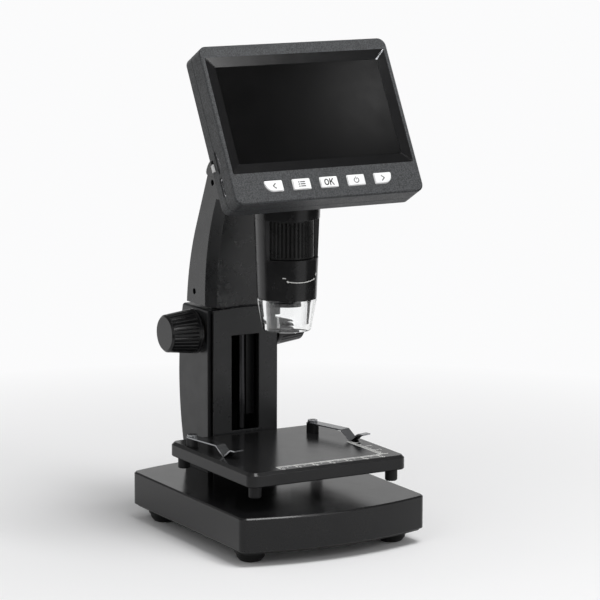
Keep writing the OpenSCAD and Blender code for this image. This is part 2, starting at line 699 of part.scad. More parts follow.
module arm_screws() color([0.5, 0.5, 0.52]) for (h = arm_holes)
  translate([-17, h[0], h[1]]) rotate([0, -90, 0]) screw(1.65, 1.2, 1.4, 24);

module head_cover() color([0.07, 0.07, 0.08]) along_x(-col_hw, col_hw)
  polygon([[-5, head_top], [37.4, head_top], [38.6, head_top + 0.6], [38.9, head_top + 1.6], [38.6, head_top + 2.9],
           [37.7, head_top + 4.5], [36, head_top + 6.6], [33, head_top + 9.2], [29, head_top + 11.4],
           [2, head_top + 11.4]]);

module hinge_bracket() color([0.2, 0.2, 0.21]) difference() {
  union() {
    box([-lug_x1, -22.5, head_top], [lug_x1, -6, head_top + 2]);
    for (s = [0, 1]) mirror([s, 0, 0]) {
      xcyl(lug_x0, lug_x1, hinge_y, hinge_z, 4.6);
      along_x(lug_x0, lug_x1) polygon([[-22.5, head_top], [-6, head_top], [hinge_y + 4.55, hinge_z],
                                       [hinge_y - 4.55, hinge_z - 0.5]]);
    }
  }
  xcyl(-30, 30, hinge_y, hinge_z, pin_r);
}

module hinge_pin() color([0.7, 0.7, 0.72]) xcyl(-lug_x1 - 0.4, lug_x1 + 0.4, hinge_y, hinge_z, pin_r);

// ---------- barrel ----------

function barrel_r(z) = barrel_r_low + (barrel_r_top - barrel_r_low) * (z - barrel_low) / (barrel_top - barrel_low);

module barrel_shell() color([0.06, 0.06, 0.07]) difference() {
  translate([0, axis_y, 0]) rotate_extrude() polygon([
    [bore_r, barrel_low], [barrel_r_low - 0.5, barrel_low], [barrel_r_low, barrel_low + 0.5],
    [barrel_r(window_top), window_top], [wheel_r + 0.3, window_top], [wheel_r + 0.3, window_low],
    [lens_r + run, window_low], [lens_r + run, window_low - 6], [bore_r, window_low - 6]]);
  box([-30, axis_y - 30, window_low], [30, axis_y - window_flat, window_top + 1]);
}

module barrel_collar() color([0.06, 0.06, 0.07]) translate([0, axis_y, 0]) rotate_extrude() polygon([
  [head_bore, window_top], [barrel_r(window_top), window_top], [barrel_r_top, barrel_top - 0.4],
  [barrel_r_top - 0.4, barrel_top], [head_bore, barrel_top]]);

module focus_wheel() color([0.04, 0.04, 0.045]) translate([0, axis_y, 0]) difference() {
  translate([0, 0, window_low + 0.3]) cylinder(r = wheel_r, h = window_top - window_low - 0.6);
  translate([0, 0, 100]) cylinder(r = lens_r + run, h = 100);
  for (k = [0 : 39]) rotate([0, 0, k * 9 + 4.5]) translate([wheel_r + 0.1, 0, window_low + 1.2])
    cylinder(r = 0.75, h = window_top - window_low - 2.4, $fn = 4);
}

module lens_tube() color([0.1, 0.1, 0.11]) translate([0, axis_y, 0]) rotate_extrude() polygon([
  [6, 125], [7.6, 125], [7.6, 136.4], [lens_r, 136.4], [lens_r, 172], [lens_r - 1.6, 172],
  [lens_r - 1.6, 140], [5.2, 138], [5.2, 128.4], [6, 128.4]]);

module lens_glass() color([0.5, 0.6, 0.8, 0.4]) translate([0, axis_y, 0]) {
  translate([0, 0, 125.6]) cylinder(r = 6, h = 2.8);
}

module led_board() color([0.1, 0.35, 0.2]) translate([0, axis_y, 132]) difference() {
  cylinder(r = bore_r - 0.1, h = 1.4);
  translate([0, 0, -1]) cylinder(r = 8.1, h = 4);
}

module leds() color([0.95, 0.9, 0.6]) for (k = [0 : 7]) translate([0, axis_y, 0]) rotate([0, 0, 22.5 + k * 45])
  translate([led_ring_r, 0, 0]) {
    box([-1.2, -1.2, 131], [1.2, 1.2, 132]);
    translate([0, 0, 130.6]) cylinder(r = 0.9, h = 0.5);
  }

module sensor_board() color([0.1, 0.35, 0.2]) translate([0, axis_y, 0]) {
  translate([0, 0, 175.2]) cylinder(r = head_bore, h = 1.2);
  box([-4, -4, 174.4], [4, 4, 175.3]);
  box([-6, -8, 176.3], [6, -3, 179]);
}

module clear_cap() color([0.85, 0.9, 0.95, 0.35]) translate([0, axis_y, 0]) rotate_extrude() polygon([
  [cap_r_low - 2.4, cap_low], [cap_r_low - 0.5, cap_low], [cap_r_low, cap_low + 0.5],
  [barrel_r_low - 0.1, barrel_low - 1], [barrel_r_low - 0.1, barrel_low], [bore_r - run, barrel_low],
  [bore_r - run, 132], [led_ring_r + 1.6, 132], [led_ring_r + 1.6, barrel_low], [cap_r_low - 2.4, cap_low + 4]]);

// ---------- screen ----------

// Places a shape drawn in the housing's frame: X right, Y up the screen, Z out of the display.
module on_screen() translate([0, lcd_y, lcd_z]) rotate([90 - tilt, 0, 0]) children();

// Pyramid frustum: half sizes a at z0, b at z1.
module frustum(a, b, z0, z1) intersection() {
  translate([0, 100, 0]) rotate([90, 0, 0]) linear_extrude(200)
    polygon([[-a[0], z0], [a[0], z0], [b[0], z1], [-b[0], z1]]);
  translate([-100, 0, 0]) rotate([90, 0, 90]) linear_extrude(200)
    polygon([[-a[1], z0], [a[1], z0], [b[1], z1], [-b[1], z1]]);
}

module button_shape(i, c) rounded(button_w + 2 * c, button_h + 2 * c,
  [0.7 + c, 0.7 + c, (i == 0 ? button_r : 0.7) + c, (i == 4 ? button_r : 0.7) + c]);

module screen_bezel() color([0.09, 0.09, 0.1]) on_screen() difference() {
  union() {
    difference() {
      bevel_plate(case_hw, -case_down, case_up, case_r, seam_n + 0.15, face_n, 0, 0.7);
      bevel_plate(case_hw - skin, skin - case_down, case_up - skin, case_r - skin, seam_n - 1, face_n - skin, 0, 0);
    }
    for (x = [-1, 1]) translate([x * 24.2 + 0.2, button_up, -3.8]) cylinder(r = 1.2, h = 3.8);
    for (x = [-1, 1], y = [skin - case_down + 3, case_up - skin - 3])
      translate([x * (case_hw - skin - 3), y, seam_n + 0.15]) cylinder(r = 3.1, h = -seam_n - 0.5);
  }
  translate([0, -0.2, 0]) frustum([lcd_w / 2, lcd_h / 2], [lcd_w / 2 + rim_x * 1.02, lcd_h / 2 + rim_y * 1.02], 0, face_n + 0.02);
  box([-lcd_w / 2, -lcd_h / 2, -5], [lcd_w / 2, lcd_h / 2, 0.3]);
  for (i = [0 : 4]) translate([button_xs[i], button_up, -2]) linear_extrude(6) button_shape(i, 0.15);
  // card and socket slots in the left side
  box([-case_hw - 1, -28.4, seam_n - 1], [skin - case_hw + 1, -16.3, -7.4]);
  box([-case_hw - 1, -40.5, seam_n - 1], [skin - case_hw + 1, -30.5, -7.3]);
  intersection() {
    translate([-case_hw - 1, -22.6, -11.9]) rotate([0, 90, 0]) cylinder(r = 6.6, h = 1.9);
    box([-case_hw - 2, -40, -7.5], [0, 0, 0]);
  }
  for (x = [-1, 1], y = [skin - case_down + 3, case_up - skin - 3])
    translate([x * (case_hw - skin - 3), y, seam_n - 1]) cylinder(r = 1.2, h = 7);
}

module screen_rear_shell() color([0.08, 0.08, 0.09]) on_screen() difference() {
  union() {
    difference() {
      union() {
        bevel_plate(case_hw, -case_down, case_up, case_r, -case_back, seam_n - 0.15, 1, 0);
        bevel_plate(case_hw - 0.5, 0.5 - case_down, case_up - 0.5, case_r - 0.5, -case_back + 2, seam_n + 0.15, 0, 0);
      }
      bevel_plate(case_hw - skin, skin - case_down, case_up - skin, case_r - skin, skin - case_back, 0, 0, 0);
    }
    for (x = [-1, 1], y = [skin - case_down + 3, case_up - skin - 3])
      translate([x * (case_hw - skin - 3), y, skin - case_back - eps]) cylinder(r = 3.1, h = case_back - skin + seam_n + 0.15);
    for (x = [-1, 1], y = [-22, 26]) translate([x * 43, y, skin - case_back - eps])
      cylinder(r = 2.4, h = case_back - skin - 9.4);
  }
  for (x = [-1, 1], y = [skin - case_down + 3, case_up - skin - 3])
    translate([x * (case_hw - skin - 3), y, -case_back - 1]) {
      cylinder(r = 1.3, h = 20);
      cylinder(r = 2.6, h = 3);
    }
  box([-case_hw - 1, -28.4, -9], [skin - case_hw + 1, -16.3, seam_n + 1]);
  box([-case_hw - 1, -40.5, -9.9], [skin - case_hw + 1, -30.5, seam_n + 1]);
  box([-case_hw - 1, switch_up - 2.25, switch_n - 1.3], [skin - case_hw + 0.6, switch_up + 4.25, switch_n + 1.3]);
  for (y = [-6, 6], x = [-8, 8]) translate([x, up_axis + y, -case_back - 1]) cylinder(r = 1.2, h = 2.9);
  // speaker slots
  for (k = [0 : 5]) box([28 + k * 2.6, 12, -case_back - 1], [29.2 + k * 2.6, 26, 1 - case_back + 2]);
}

module lcd_panel() color([0.02, 0.02, 0.03]) on_screen() {
  box([-lcd_w / 2 - 3.6, -lcd_h / 2 - 3.2, -4.2], [lcd_w / 2 + 3.6, lcd_h / 2 + 3, face_n - skin]);
  box([0.1 - lcd_w / 2, 0.1 - lcd_h / 2, -4], [lcd_w / 2 - 0.1, lcd_h / 2 - 0.1, -0.05]);
}

module main_board() color([0.08, 0.3, 0.2]) on_screen() difference() {
  union() {
    box([-47, -26, -9.4], [47, 30, -8]);
    box([-14, -4, -8.1], [0, 10, -6.6]);
    box([10, 4, -8.1], [22, 13, -7]);
    box([-38, 12, -8.1], [-26, 24, -7]);
  }
  for (x = [-1, 1], y = [-22, 26]) translate([x * 43, y, -12]) cylinder(r = 1.2, h = 6);
}

module battery() color([0.6, 0.62, 0.65]) on_screen()
  bevel_plate(32, -22, 22, 2.4, skin - case_back, -9.7, 0.8, 0.8);

module button_board() color([0.08, 0.3, 0.2]) on_screen() {
  box([-42, button_up - 4.2, -5], [42.4, button_up + 4.2, -3.8]);
  for (x = button_xs) translate([x, button_up, -3.9]) cylinder(r = 1.8, h = 0.6);
}

module push_button(i) on_screen() translate([button_xs[i], button_up, 0]) {
  translate([0, 0, -1.4]) linear_extrude(button_n - 0.4 + 1.4) button_shape(i, 0);
  translate([0, 0, button_n - 0.4 - eps]) linear_extrude(0.4 + eps) button_shape(i, -0.35);
  translate([0, 0, -2.4]) linear_extrude(1.2) rounded(button_w + 2, button_h + 1.8, [1, 1, 1, 1]);
}

module button_back() color([0.93, 0.93, 0.93]) push_button(0);
module button_menu() color([0.93, 0.93, 0.93]) push_button(1);
module button_ok() color([0.93, 0.93, 0.93]) push_button(2);
module button_power() color([0.93, 0.93, 0.93]) push_button(3);
module button_next() color([0.93, 0.93, 0.93]) push_button(4);

module hinge_leaf() color([0.2, 0.2, 0.21]) on_screen() difference() {
  union() {
    box([-leaf_hw, up_axis - 10, -case_back - 1.6], [leaf_hw, up_axis + 10, -case_back]);
    translate([-leaf_hw, up_axis, n_axis]) rotate([0, 90, 0]) cylinder(r = knuckle_r, h = 2 * leaf_hw);
    box([-leaf_hw, up_axis - 4, n_axis], [leaf_hw, up_axis + 4, -case_back - 0.5]);
  }
  translate([-leaf_hw - 1, up_axis, n_axis]) rotate([0, 90, 0]) cylinder(r = pin_r + run, h = 2 * leaf_hw + 2);
  for (y = [-6, 6], x = [-8, 8]) translate([x, up_axis + y, -case_back - 5]) {
    cylinder(r = 1.2, h = 9);
    cylinder(r = 2.3, h = 3.8);
  }
}

module leaf_screws() color([0.6, 0.6, 0.62]) on_screen()
  for (y = [-6, 6], x = [-8, 8]) translate([x, up_axis + y, -case_back - 1.2]) rotate([180, 0, 0])
    screw(2.2, 1, 1.2, 2.9);

module card_socket() color([0.7, 0.7, 0.72]) on_screen() difference() {
  box([0.9 - case_hw, -28.3, -8.95], [-47.5, -16.4, -7.45]);
  box([-case_hw, -27.6, -8.6], [-49, -17.1, -7.8]);
}

module usb_socket() color([0.75, 0.75, 0.77]) on_screen() difference() {
  box([0.5 - case_hw, -40.1, -9.8], [-48.2, -30.9, -7.4]);
  box([-case_hw, -39.5, -9.3], [-50, -31.5, -7.9]);
}

module side_switch() color([0.9, 0.9, 0.88]) on_screen() {
  box([-case_hw - 0.7, switch_up - 2, switch_n - 1.1], [skin - case_hw + 0.3, switch_up + 2, switch_n + 1.1]);
  box([skin - case_hw + 0.2, switch_up - 3.4, switch_n - 0.9], [skin - case_hw + 1, switch_up + 3.4, switch_n + 1.7]);
}

base_shell();
base_plate();
base_weight();
rubber_feet();
base_screws();
column_left_shell();
column_right_shell();
column_cover();
column_frame();
column_foot();
column_screws();
guide_rod();
rod_collar();
shaft_bushes();
stage_bracket();
stage_plate();
stage_screws();
stage_stubs();
clip_posts();
clip_screws();
left_clip();
right_clip();
knob_shaft();
pinion();
left_knob();
right_knob();
carriage_neck();
rack();
arm_left_shell();
arm_right_shell();
arm_front_panel();
arm_screws();
head_cover();
hinge_bracket();
hinge_pin();
barrel_shell();
barrel_collar();
focus_wheel();
lens_tube();
lens_glass();
led_board();
leds();
sensor_board();
clear_cap();
screen_bezel();
screen_rear_shell();
lcd_panel();
main_board();
battery();
button_board();
hinge_leaf();
leaf_screws();
card_socket();
usb_socket();
side_switch();
button_back();
button_menu();
button_ok();
button_power();
button_next();
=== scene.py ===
import json
import math

import bmesh
import bpy
from mathutils import Matrix, Vector


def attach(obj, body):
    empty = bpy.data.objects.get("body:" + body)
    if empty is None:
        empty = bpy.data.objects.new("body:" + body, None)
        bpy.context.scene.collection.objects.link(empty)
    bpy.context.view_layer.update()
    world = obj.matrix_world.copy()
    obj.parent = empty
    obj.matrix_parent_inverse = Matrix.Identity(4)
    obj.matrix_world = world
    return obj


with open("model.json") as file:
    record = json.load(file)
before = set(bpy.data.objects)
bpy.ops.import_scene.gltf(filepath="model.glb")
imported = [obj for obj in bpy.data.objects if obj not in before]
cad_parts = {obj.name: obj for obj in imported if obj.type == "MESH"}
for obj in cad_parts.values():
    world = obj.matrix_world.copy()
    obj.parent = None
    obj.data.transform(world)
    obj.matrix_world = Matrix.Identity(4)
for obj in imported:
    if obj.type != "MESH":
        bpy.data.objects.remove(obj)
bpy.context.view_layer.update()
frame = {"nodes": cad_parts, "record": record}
nodes = frame["nodes"]

# ---------------------------------------------------------------- shader helpers

# how fine the noise patterns are, in repeats per metre
TONE_SCALE = 38
GLOSS_SCALE = 90
GLASS_SCALE = 120
WEAR_SCALE = 260
PATCH_SCALE = 300
DUST_SCALE = 900
ETCH_SCALE = 1500
METAL_GRAIN_SCALE = 1800
PLASTIC_GRAIN_SCALE = 2600
# nearly all values of a noise lie between these two
NOISE_LOW, NOISE_HIGH = 0.3, 0.7
# the way in which an offset moves a pattern
NOISE_SHIFT = (1.0, 1.7, 0.6)

TONE_DARKER, TONE_LIGHTER = 0.86, 1.22
WORN_GAIN, WORN_LIFT = 1.6, 0.02
LEAST_WEAR = 0.35
# the wear reaches a little further than the rounding of the edge
WEAR_REACH = 1.4
# cosine between the rounded and the true normal: worn in full below the first, not above the second
EDGE_COSINES = (0.80, 0.995)
SALT_GAIN = 1.3
DUST_COLOR = (0.35, 0.34, 0.33)
# how far the roughness of glass goes below and above its middle
GLASS_LESS, GLASS_MORE = 0.01, 0.015
GRAIN_DEPTH = 0.0002
BEVEL_SAMPLES = 4


def new_mat(name):
    m = bpy.data.materials.new(name)
    m.use_nodes = True
    nt = m.node_tree
    nt.nodes.clear()
    out = nt.nodes.new("ShaderNodeOutputMaterial")
    bsdf = nt.nodes.new("ShaderNodeBsdfPrincipled")
    nt.links.new(bsdf.outputs[0], out.inputs[0])
    return m, nt, bsdf


def noise(nt, scale, detail, rough, stretch=None, offset=0.0):
    tc = nt.nodes.new("ShaderNodeTexCoord")
    mp = nt.nodes.new("ShaderNodeMapping")
    mp.inputs["Location"].default_value = tuple(offset * s for s in NOISE_SHIFT)
    if stretch:
        mp.inputs["Scale"].default_value = stretch
    n = nt.nodes.new("ShaderNodeTexNoise")
    n.inputs["Scale"].default_value = scale
    n.inputs["Detail"].default_value = detail
    n.inputs["Roughness"].default_value = rough
    nt.links.new(tc.outputs["Object"], mp.inputs["Vector"])
    nt.links.new(mp.outputs[0], n.inputs["Vector"])
    return n.outputs["Fac"]


def remap(nt, value, out_low, out_high, in_low=NOISE_LOW, in_high=NOISE_HIGH):
    r = nt.nodes.new("ShaderNodeMapRange")
    r.inputs["From Min"].default_value = in_low
    r.inputs["From Max"].default_value = in_high
    r.inputs["To Min"].default_value = out_low
    r.inputs["To Max"].default_value = out_high
    nt.links.new(value, r.inputs["Value"])
    return r.outputs["Result"]


def combine(nt, operation, a, b):
    """A math node on two sockets."""
    n = nt.nodes.new("ShaderNodeMath")
    n.operation = operation
    nt.links.new(a, n.inputs[0])
    nt.links.new(b, n.inputs[1])
    return n.outputs[0]


def mix_rgb(nt, fac, a, b):
    """Mixes two colours, each of them a socket or three numbers."""
    mx = nt.nodes.new("ShaderNodeMix")
    mx.data_type = "RGBA"
    nt.links.new(fac, mx.inputs["Factor"])
    for key, c in (("A", a), ("B", b)):
        sock = [s for s in mx.inputs if s.name == key and s.type == "RGBA"][0]
        if hasattr(c, "links"):
            nt.links.new(c, sock)
        else:
            sock.default_value = (*c, 1)
    return [s for s in mx.outputs if s.type == "RGBA"][0]


def rounded_normal(nt, radius):
    bev = nt.nodes.new("ShaderNodeBevel")
    bev.samples = BEVEL_SAMPLES
    bev.inputs["Radius"].default_value = radius
    return bev.outputs[0]


def edge_mask(nt, radius):
    """1 on sharp edges, 0 on flat faces, from the difference of the rounded and the true normal."""
    geo = nt.nodes.new("ShaderNodeNewGeometry")
    dot = nt.nodes.new("ShaderNodeVectorMath")
    dot.operation = "DOT_PRODUCT"
    nt.links.new(rounded_normal(nt, radius), dot.inputs[0])
    nt.links.new(geo.outputs["Normal"], dot.inputs[1])
    return remap(nt, dot.outputs["Value"], 1.0, 0.0, *EDGE_COSINES)


# ---------------------------------------------------------------- materials


def etched(nt, col, color, amount):
    """The fine salt-and-pepper grain of an etched mould, laid over col in patches."""
    pepper = tuple(c * (1 - amount) for c in color)
    salt = tuple(c * (1 + SALT_GAIN * amount) for c in color)
    grains = noise(nt, ETCH_SCALE, detail=1.0, rough=0.5, offset=5.3)
    patches = noise(nt, PATCH_SCALE, detail=2.0, rough=0.5, offset=9.1)
    grain = mix_rgb(nt, remap(nt, grains, 0, 1, in_low=0.36, in_high=0.64), pepper, salt)
    return mix_rgb(nt, remap(nt, patches, 0.7, 1.0), col, grain)


def plastic(name, color, rough, rough_var=0.06, spec=0.25, metal=0.0, bevel=0.0004, edge=0.25,
            grain=0.0, grain_scale=PLASTIC_GRAIN_SCALE, stretch=None, dust=0.0, etch=0.0):
    """A surface with tone, gloss and grain; bevel is in metres, edge, dust and etch are 0 to 1."""
    m, nt, b = new_mat(name)
    b.inputs["Metallic"].default_value = metal
    b.inputs["Specular IOR Level"].default_value = spec
    # slow variation of tone and gloss, as moulding and handling leave it
    tone = noise(nt, TONE_SCALE, detail=4.0, rough=0.6)
    dark = tuple(c * TONE_DARKER for c in color)
    light = tuple(min(1, c * TONE_LIGHTER) for c in color)
    col = mix_rgb(nt, remap(nt, tone, 0, 1), dark, light)
    if etch > 0:
        col = etched(nt, col, color, etch)
    if edge > 0:
        worn = tuple(min(1, c * WORN_GAIN + WORN_LIFT) for c in color)
        uneven = noise(nt, WEAR_SCALE, detail=3.0, rough=0.6, offset=3.1)
        wear = combine(nt, "MULTIPLY", edge_mask(nt, bevel * WEAR_REACH),
                       remap(nt, uneven, LEAST_WEAR * edge, edge))
        col = mix_rgb(nt, wear, col, worn)
    if dust > 0:
        specks = noise(nt, DUST_SCALE, detail=5.0, rough=0.75, offset=7.7)
        col = mix_rgb(nt, remap(nt, specks, 0, dust, in_low=0.55, in_high=0.9), col, DUST_COLOR)
    nt.links.new(col, b.inputs["Base Color"])
    gloss = noise(nt, GLOSS_SCALE, detail=4.0, rough=0.65, offset=1.3)
    nt.links.new(remap(nt, gloss, rough - rough_var, rough + rough_var), b.inputs["Roughness"])
    normal = rounded_normal(nt, bevel)
    if grain > 0:
        bump = nt.nodes.new("ShaderNodeBump")
        bump.inputs["Strength"].default_value = grain
        bump.inputs["Distance"].default_value = GRAIN_DEPTH
        relief = noise(nt, grain_scale, detail=2.0, rough=0.5, stretch=stretch)
        nt.links.new(relief, bump.inputs["Height"])
        nt.links.new(normal, bump.inputs["Normal"])
        normal = bump.outputs[0]
    nt.links.new(normal, b.inputs["Normal"])
    return m


def metal(name, color, rough, brushed=None, grain=0.15):
    return plastic(name, color, rough, rough_var=0.05, metal=1.0, bevel=0.0002, edge=0.0,
                   grain=grain, grain_scale=METAL_GRAIN_SCALE, stretch=brushed)


def glassy(name, color, rough, ior):
    m, nt, b = new_mat(name)
    b.inputs["Base Color"].default_value = (*color, 1)
    b.inputs["Transmission Weight"].default_value = 1.0
    b.inputs["IOR"].default_value = ior
    smears = noise(nt, GLASS_SCALE, detail=3.0, rough=0.6)
    nt.links.new(remap(nt, smears, max(0.0, rough - GLASS_LESS), rough + GLASS_MORE),
                 b.inputs["Roughness"])
    return m


# the record's material slots: the function that makes it, colour, roughness, other settings
SLOTS = {
    "base_plastic": (plastic, (0.008, 0.008, 0.0085), 0.18, dict(
        rough_var=0.03, spec=0.31, bevel=0.0006, edge=0.35, grain=0.02, grain_scale=900,
        dust=0.015)),
    "plate_plastic": (plastic, (0.007, 0.007, 0.0075), 0.5, dict(grain=0.35)),
    "foot_rubber": (plastic, (0.006, 0.006, 0.006), 0.5, dict(
        bevel=0.0005, grain=0.4, grain_scale=1800)),
    "weight_iron": (metal, (0.12, 0.12, 0.125), 0.6, dict(grain=0.5)),
    "screw_steel": (metal, (0.42, 0.42, 0.44), 0.32, {}),
    "column_plastic": (plastic, (0.016, 0.0165, 0.0175), 0.36, dict(
        spec=0.34, grain=0.05, grain_scale=3200)),
    "cover_plastic": (plastic, (0.017, 0.0175, 0.0185), 0.30, dict(spec=0.38, grain=0.04)),
    # inner parts: black plastic made darker and duller than the outer plastics, which adds painted
    # shade inside the column's slot and behind its cover
    "inner_plastic": (plastic, (0.002, 0.002, 0.002), 0.6, dict(spec=0.15, edge=0.0, grain=0.3)),
    "foot_metal": (plastic, (0.012, 0.012, 0.013), 0.5, dict(grain=0.5, grain_scale=1500)),
    "rod_steel": (metal, (0.04, 0.04, 0.042), 0.22, dict(brushed=(1, 1, 0.02), grain=0.1)),
    "bush_brass": (metal, (0.5, 0.38, 0.18), 0.3, {}),
    "bracket_steel": (plastic, (0.012, 0.012, 0.013), 0.45, dict(grain=0.4, grain_scale=1700)),
    "stage_plastic": (plastic, (0.013, 0.013, 0.0135), 0.20, dict(
        rough_var=0.03, bevel=0.0005, edge=0.3, grain=0.02, grain_scale=1500, dust=0.015)),
    "clip_steel": (metal, (0.3, 0.305, 0.315), 0.22, dict(grain=0.05)),
    "knob_plastic": (plastic, (0.008, 0.008, 0.0085), 0.22, dict(
        spec=0.32, bevel=0.0003, grain=0.05, grain_scale=3000)),
    "gear_plastic": (plastic, (0.008, 0.008, 0.0085), 0.35, dict(bevel=0.0001, grain=0.15)),
    "arm_plastic": (plastic, (0.009, 0.0093, 0.0100), 0.28, dict(
        spec=0.47, bevel=0.0006, grain=0.05, grain_scale=3200)),
    "neck_metal": (metal, (0.04, 0.04, 0.042), 0.42, dict(grain=0.3)),
    "hinge_metal": (plastic, (0.010, 0.010, 0.011), 0.4, dict(grain=0.35, grain_scale=1900)),
    "barrel_plastic": (plastic, (0.011, 0.011, 0.0115), 0.24, dict(
        spec=0.36, bevel=0.0003, grain=0.05, grain_scale=3200)),
    "wheel_rubber": (plastic, (0.008, 0.008, 0.008), 0.28, dict(
        spec=0.36, bevel=0.0002, grain=0.05, grain_scale=3000)),
    "tube_metal": (plastic, (0.02, 0.02, 0.022), 0.3, dict(metal=0.6, grain=0.1)),
    "lens_glass": (glassy, (0.92, 0.95, 1.0), 0.01, dict(ior=1.52)),
    "clear_plastic": (glassy, (0.985, 0.99, 0.99), 0.012, dict(ior=1.49)),
    "board": (plastic, (0.015, 0.08, 0.04), 0.35, dict(grain=0.3, grain_scale=1200)),
    "led": (plastic, (0.85, 0.8, 0.45), 0.3, dict(grain=0.1)),
    "case_plastic": (plastic, (0.042, 0.044, 0.0465), 0.46, dict(
        spec=0.3, bevel=0.0006, edge=0.35, grain=0.6, grain_scale=1900, etch=0.55)),
    "display": (plastic, (0.001, 0.001, 0.0011), 0.20, dict(
        rough_var=0.02, spec=0.10, bevel=0.0001, edge=0.0)),
    "battery_foil": (metal, (0.5, 0.51, 0.53), 0.35, dict(grain=0.4)),
    "button_white": (plastic, (0.90, 0.905, 0.91), 0.38, dict(
        bevel=0.0003, edge=0.0, grain=0.15)),
    "socket_steel": (metal, (0.6, 0.6, 0.62), 0.25, {}),
}
slot_material = {slot: make(slot, color, rough, **settings)
                 for slot, (make, color, rough, settings) in SLOTS.items()}

# materials of the added pieces
print_white = plastic("print_white", (0.82, 0.82, 0.8), 0.55, bevel=0.0, edge=0.0, grain=0.2)
print_grey = plastic("print_grey", (0.04, 0.04, 0.042), 0.5, bevel=0.0, edge=0.0, grain=0.2)
rim_gloss = plastic("rim_gloss", (0.003, 0.003, 0.0034), 0.14, rough_var=0.02, spec=0.4,
                    bevel=0.0, edge=0.0)
# bright foil for the top-right joint of the display's frame only: partly a real mirror of the
# lamps, partly a painted highlight on that one mitre
painted_highlight_foil = metal("painted_highlight_foil", (0.6, 0.61, 0.63), 0.18, grain=0.0)

# edges that turn by more than this stay sharp
SHARP_ANGLE = math.radians(32)

slot_of = {s["node"]: s["material_slot"] for s in frame["record"]["subparts"]}
for name, o in nodes.items():
    o.data.materials.clear()
    o.data.materials.append(slot_material[slot_of[name]])
    o.data.shade_smooth()
    o.data.set_sharp_from_angle(angle=SHARP_ANGLE)

# ---------------------------------------------------------------- mesh helpers

# millimetres in a metre
MM = 1000
# thickness of a printed mark, in millimetres
PRINT = 0.03


def to_object(name, bm, material):
    me = bpy.data.meshes.new(name)
    bm.to_mesh(me)
    bm.free()
    me.materials.append(material)
    o = bpy.data.objects.new(name, me)
    bpy.context.scene.collection.objects.link(o)
    return o


def plates(name, outlines, material, body):
    """Thin plates as one piece; each outline is its lower and its upper row of points."""
    bm = bmesh.new()
    for lower, upper in outlines:
        low = [bm.verts.new(p) for p in lower]
        top = [bm.verts.new(p) for p in upper]
        bm.faces.new(top)
        bm.faces.new(list(reversed(low)))
        for i in range(len(low)):
            j = (i + 1) % len(low)
            bm.faces.new([low[i], low[j], top[j], top[i]])
    bmesh.ops.recalc_face_normals(bm, faces=bm.faces[:])
    o = to_object(name, bm, material)
    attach(o, body)


def printed(name, polygons, material, body, place):
    """A printed mark: polygons of (u, v) points, lifted to space by place(u, v, height)."""
    plates(name, [([place(u, v, 0.0) for u, v in poly], [place(u, v, PRINT) for u, v in poly])
                  for poly in polygons], material, body)


def stroke(points, width):
    """Quads along a polyline of (u, v) points; each overruns its ends by a quarter of its width."""
    quads = []
    for (x0, y0), (x1, y1) in zip(points, points[1:]):
        d = math.hypot(x1 - x0, y1 - y0) or 1
        nx, ny = -(y1 - y0) / d * width / 2, (x1 - x0) / d * width / 2
        ex, ey = (x1 - x0) / d * width / 4, (y1 - y0) / d * width / 4
        quads.append([(x0 - nx - ex, y0 - ny - ey), (x1 - nx + ex, y1 - ny + ey),
                      (x1 + nx + ex, y1 + ny + ey), (x0 + nx - ex, y0 + ny - ey)])
    return quads


def arc(cx, cy, r, a0, a1, steps):
    """Points on a circle, from angle a0 to a1 in degrees."""
    angles = [math.radians(a0 + (a1 - a0) * i / steps) for i in range(steps + 1)]
    return [(cx + r * math.cos(a), cy + r * math.sin(a)) for a in angles]


# ---------------------------------------------------------------- the display's frame

# the housing's own frame: its tilt, the display's middle, and the ways up and out of the display
TILT = math.radians(28.72)
LCD = Vector((0, -0.0337, 0.2296))
UP = Vector((0, math.sin(TILT), math.cos(TILT)))
OUT = Vector((0, -math.cos(TILT), math.sin(TILT)))


def on_screen(x, up, out):
    """Millimetres right of, up from and out of the display's middle, to metres in the row frame."""
    return LCD + Vector((x / MM, 0, 0)) + UP * (up / MM) + OUT * (out / MM)


# millimetres: half the window, and the slope around it, which lies a little lower than the window
WIN_X, WIN_Y = 48.0, 26.8
RIM_X, RIM_Y, RIM_OUT = 5.2, 5.15, 1.0
RIM_DOWN = -0.2
# how far the strips stop short of their corners
MITRE = 0.5
STRIP_THICK, JOINT_THICK = 0.05, 0.03
# their gap to the slope, and what the joints add to it at their inner ends
RIM_LIFT, JOINT_LIFT = 0.01, 0.02


def rim_corner(sx, sy, t):
    """A point on the mitre line: t = 0 at the display, 1 at the housing's face."""
    # below the display the frame also covers the narrow ledge between the window and the slope
    down = RIM_DOWN if sy > 0 else RIM_DOWN * t
    return sx * (WIN_X + RIM_X * t), sy * (WIN_Y + RIM_Y * t) + down, RIM_OUT * t


def rim_plate(name, corners, thick, material):
    plates(name, [([on_screen(x, y, n + RIM_LIFT) for x, y, n in corners],
                   [on_screen(x, y, n + RIM_LIFT + thick) for x, y, n in corners])],
           material, "screen")


def rim_strip(name, c0, c1):
    """A thin glossy strip on the slope between two corners; c0 and c1 are (sx, sy)."""
    gap = Vector((c1[0] - c0[0], c1[1] - c0[1])) / 2 * MITRE
    ends = []
    for c, way in ((c0, 1), (c1, -1)):
        for t in (0.0, 1.0):
            x, y, n = rim_corner(*c, t)
            ends.append((x + gap.x * way, y + gap.y * way, n))
    rim_plate(name, [ends[0], ends[1], ends[3], ends[2]], STRIP_THICK, rim_gloss)


def rim_joint(name, sx, sy, material):
    """The filled joint between two strips, a narrow bridge at half their slopes."""
    ix, iy, n0 = rim_corner(sx, sy, 0.0)
    ox, oy, n1 = rim_corner(sx, sy, 1.0)
    rim_plate(name, [(ix - sx * MITRE, iy, n0 + JOINT_LIFT), (ix, iy - sy * MITRE, n0 + JOINT_LIFT),
                     (ox, oy - sy * MITRE, n1), (ox - sx * MITRE, oy, n1)], JOINT_THICK, material)


